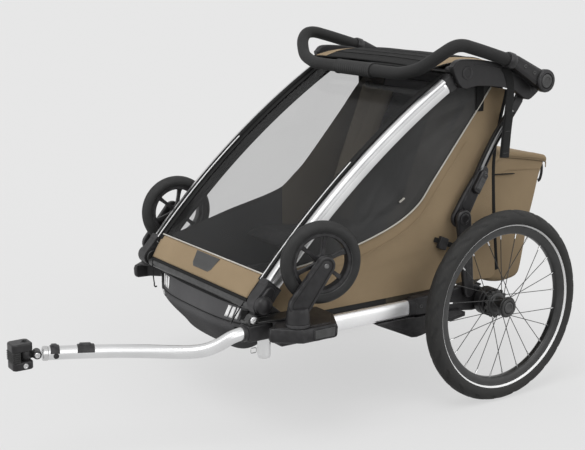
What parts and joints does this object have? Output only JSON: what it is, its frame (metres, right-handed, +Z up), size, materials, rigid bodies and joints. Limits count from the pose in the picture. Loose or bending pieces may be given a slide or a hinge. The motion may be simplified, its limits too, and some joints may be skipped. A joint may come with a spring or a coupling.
{
  "type": "child bike trailer",
  "caption": "Folding bike trailer for a child: bowed aluminium frame, fabric cabin with a clear front, large rear wheels, stowed casters, swing-over handlebar and side hitch arm.",
  "frame": {"origin": "on the ground under the middle of the bounding box", "axes": "+X to the trailer's left side, +Y backwards, away from the bike, +Z up"},
  "size_m": [0.789, 1.5066, 0.9308],
  "materials": {
    "silver_aluminium": "satin anodised",
    "black_plastic": "fine grain",
    "grey_plastic": "satin",
    "black_metal": "satin",
    "foam": "soft matte foam",
    "grip_rubber": "matte",
    "tyre_rubber": "matte",
    "khaki_fabric": "plain weave, coated",
    "dark_fabric": "plain weave",
    "seat_fabric": "padded weave",
    "webbing": "ribbed webbing",
    "clear_film": "clear, glossy"
  },
  "bodies": {
    "chassis": {"rail_left": "silver_aluminium", "rail_right": "silver_aluminium", "front_block_left": "black_plastic", "front_block_right": "black_plastic", "rear_block_left": "black_plastic", "rear_block_right": "black_plastic", "leaf_spring_left": "black_plastic", "leaf_spring_right": "black_plastic", "side_panel_left": "khaki_fabric", "side_panel_right": "khaki_fabric", "axle_beam": "black_metal", "front_cross_tube": "black_metal", "hitch_bracket": "black_metal", "belly": "dark_fabric", "seat": "seat_fabric", "back_panel": "dark_fabric", "cargo_bag": "khaki_fabric"},
    "upper_frame": {"front_tube_left": "silver_aluminium", "front_tube_right": "silver_aluminium", "knuckle_left": "black_plastic", "knuckle_right": "black_plastic", "corner_bracket_left": "black_plastic", "corner_bracket_right": "black_plastic", "roof_bar": "black_metal", "roof": "khaki_fabric", "front_window": "clear_film", "front_strip": "khaki_fabric", "hand_strap": "webbing"},
    "handlebar_loop": {"handlebar": "foam", "handlebar_grip": "grip_rubber", "handlebar_clamp_left": "black_plastic", "handlebar_clamp_right": "black_plastic"},
    "hitch_arm_body": {"hitch_arm": "silver_aluminium", "hitch_clamp": "black_plastic"},
    "hitch_neck_body": {"hitch_neck": "black_plastic"},
    "hitch_head_body": {"hitch_head": "black_plastic"},
    "hitch_pin_body": {"hitch_pin": "silver_aluminium"},
    "brake_pedal_body": {"brake_pedal": "black_plastic"},
    "strut_upper_left_body": {"strut_upper_left": "black_metal"},
    "strut_lower_left_body": {"strut_lower_left": "black_plastic"},
    "strut_latch_left_body": {"strut_latch_left": "grey_plastic"},
    "handlebar_button_left_body": {"handlebar_button_left": "grey_plastic"},
    "rear_wheel_left": {"tyre_left": "tyre_rubber", "wheel_left": "black_metal"},
    "wheel_button_left_body": {"wheel_button_left": "grey_plastic"},
    "caster_left": {"caster_fork_left": "black_plastic"},
    "caster_wheel_left_body": {"caster_wheel_left": "black_plastic", "caster_tyre_left": "grip_rubber"},
    "caster_release_left_body": {"caster_release_left": "grey_plastic"},
    "strut_upper_right_body": {"strut_upper_right": "black_metal"},
    "strut_lower_right_body": {"strut_lower_right": "black_plastic"},
    "strut_latch_right_body": {"strut_latch_right": "grey_plastic"},
    "handlebar_button_right_body": {"handlebar_button_right": "grey_plastic"},
    "rear_wheel_right": {"tyre_right": "tyre_rubber", "wheel_right": "black_metal"},
    "wheel_button_right_body": {"wheel_button_right": "grey_plastic"},
    "caster_right": {"caster_fork_right": "black_plastic"},
    "caster_wheel_right_body": {"caster_wheel_right": "black_plastic", "caster_tyre_right": "grip_rubber"},
    "caster_release_right_body": {"caster_release_right": "grey_plastic"}
  },
  "joints": [
    {"name": "frame_fold", "type": "hinge", "parent": "chassis", "child": "upper_frame", "pos_m": [0, -0.2177, 0.346], "axis": [-1, 0, 0], "range_deg": [0, 26], "deforming": ["seat", "side_panel_left", "side_panel_right", "back_panel", "cargo_bag"]},
    {"name": "handlebar_swing", "type": "hinge", "parent": "upper_frame", "child": "handlebar_loop", "pos_m": [0, 0.6113, 0.816], "axis": [-1, 0, 0], "range_deg": [0, 190]},
    {"name": "hitch_arm_swing", "type": "hinge", "parent": "chassis", "child": "hitch_arm_body", "pos_m": [0.28, -0.2077, 0.285], "axis": [0, 0, 1], "range_deg": [0, 40]},
    {"name": "hitch_pin_pull", "type": "slide", "parent": "chassis", "child": "hitch_pin_body", "axis": [1, 0, 0], "range_m": [0, 0.01]},
    {"name": "hitch_pitch", "type": "hinge", "parent": "hitch_arm_body", "child": "hitch_neck_body", "pos_m": [0.1089, -0.6938, 0.2687], "axis": [-0.9637, 0.2668, 0], "range_deg": [-12, 12]},
    {"name": "hitch_yaw", "type": "hinge", "parent": "hitch_neck_body", "child": "hitch_head_body", "pos_m": [0.1019, -0.7193, 0.2703], "axis": [0, 0, 1], "range_deg": [-45, 45]},
    {"name": "brake_press", "type": "hinge", "parent": "chassis", "child": "brake_pedal_body", "pos_m": [0, 0.4673, 0.25], "axis": [-1, 0, 0], "range_deg": [0, 20]},
    {"name": "strut_top_left", "type": "hinge", "parent": "upper_frame", "child": "strut_upper_left_body", "pos_m": [0.2725, 0.5923, 0.79], "axis": [-1, 0, 0], "range_deg": [0, 42.5]},
    {"name": "strut_foot_left", "type": "hinge", "parent": "chassis", "child": "strut_lower_left_body", "pos_m": [0.2885, 0.4123, 0.28], "axis": [1, 0, 0], "range_deg": [0, 16]},
    {"name": "latch_slide_left", "type": "slide", "parent": "strut_upper_left_body", "child": "strut_latch_left_body", "axis": [0, 0.5455, 0.8381], "range_m": [0, 0.008], "stiffness_N_per_m": 300, "springref_m": -0.002},
    {"name": "handlebar_button_press_left", "type": "slide", "parent": "handlebar_loop", "child": "handlebar_button_left_body", "axis": [-1, 0, 0], "range_m": [0, 0.003], "stiffness_N_per_m": 500, "springref_m": -0.001},
    {"name": "wheel_spin_left", "type": "hinge", "parent": "chassis", "child": "rear_wheel_left", "pos_m": [0.358, 0.4673, 0.25], "axis": [1, 0, 0], "continuous": true},
    {"name": "wheel_button_press_left", "type": "slide", "parent": "rear_wheel_left", "child": "wheel_button_left_body", "axis": [-1, 0, 0], "range_m": [0, 0.003], "stiffness_N_per_m": 500, "springref_m": -0.001},
    {"name": "caster_swivel_left", "type": "hinge", "parent": "chassis", "child": "caster_left", "pos_m": [0.3605, -0.1671, 0.306], "axis": [0, 0, 1], "range_deg": [-20, 24]},
    {"name": "caster_spin_left", "type": "hinge", "parent": "caster_left", "child": "caster_wheel_left_body", "pos_m": [0.35221, -0.09907, 0.4446], "axis": [0.9703, -0.2419, 0], "continuous": true},
    {"name": "caster_release_press_left", "type": "slide", "parent": "chassis", "child": "caster_release_left_body", "axis": [-1, 0, 0], "range_m": [0, 0.0025], "stiffness_N_per_m": 500, "springref_m": -0.001},
    {"name": "strut_top_right", "type": "hinge", "parent": "upper_frame", "child": "strut_upper_right_body", "pos_m": [-0.2725, 0.5923, 0.79], "axis": [-1, 0, 0], "range_deg": [0, 42.5]},
    {"name": "strut_foot_right", "type": "hinge", "parent": "chassis", "child": "strut_lower_right_body", "pos_m": [-0.2885, 0.4123, 0.28], "axis": [1, 0, 0], "range_deg": [0, 16]},
    {"name": "latch_slide_right", "type": "slide", "parent": "strut_upper_right_body", "child": "strut_latch_right_body", "axis": [0, 0.5455, 0.8381], "range_m": [0, 0.008], "stiffness_N_per_m": 300, "springref_m": -0.002},
    {"name": "handlebar_button_press_right", "type": "slide", "parent": "handlebar_loop", "child": "handlebar_button_right_body", "axis": [1, 0, 0], "range_m": [0, 0.003], "stiffness_N_per_m": 500, "springref_m": -0.001},
    {"name": "wheel_spin_right", "type": "hinge", "parent": "chassis", "child": "rear_wheel_right", "pos_m": [-0.358, 0.4673, 0.25], "axis": [1, 0, 0], "continuous": true},
    {"name": "wheel_button_press_right", "type": "slide", "parent": "rear_wheel_right", "child": "wheel_button_right_body", "axis": [1, 0, 0], "range_m": [0, 0.003], "stiffness_N_per_m": 500, "springref_m": -0.001},
    {"name": "caster_swivel_right", "type": "hinge", "parent": "chassis", "child": "caster_right", "pos_m": [-0.3605, -0.1671, 0.306], "axis": [0, 0, 1], "range_deg": [0, 50]},
    {"name": "caster_spin_right", "type": "hinge", "parent": "caster_right", "child": "caster_wheel_right_body", "pos_m": [-0.32733, -0.10713, 0.4446], "axis": [0.9903, -0.1392, 0], "continuous": true},
    {"name": "caster_release_press_right", "type": "slide", "parent": "chassis", "child": "caster_release_right_body", "axis": [1, 0, 0], "range_m": [0, 0.0025], "stiffness_N_per_m": 500, "springref_m": -0.001}
  ],
  "couplings": [
    {"joint": "strut_top_left", "follows": "frame_fold", "ratio": 1.6115},
    {"joint": "strut_foot_left", "follows": "frame_fold", "ratio": 0.5977},
    {"joint": "strut_top_right", "follows": "frame_fold", "ratio": 1.6115},
    {"joint": "strut_foot_right", "follows": "frame_fold", "ratio": 0.5977}
  ]
}
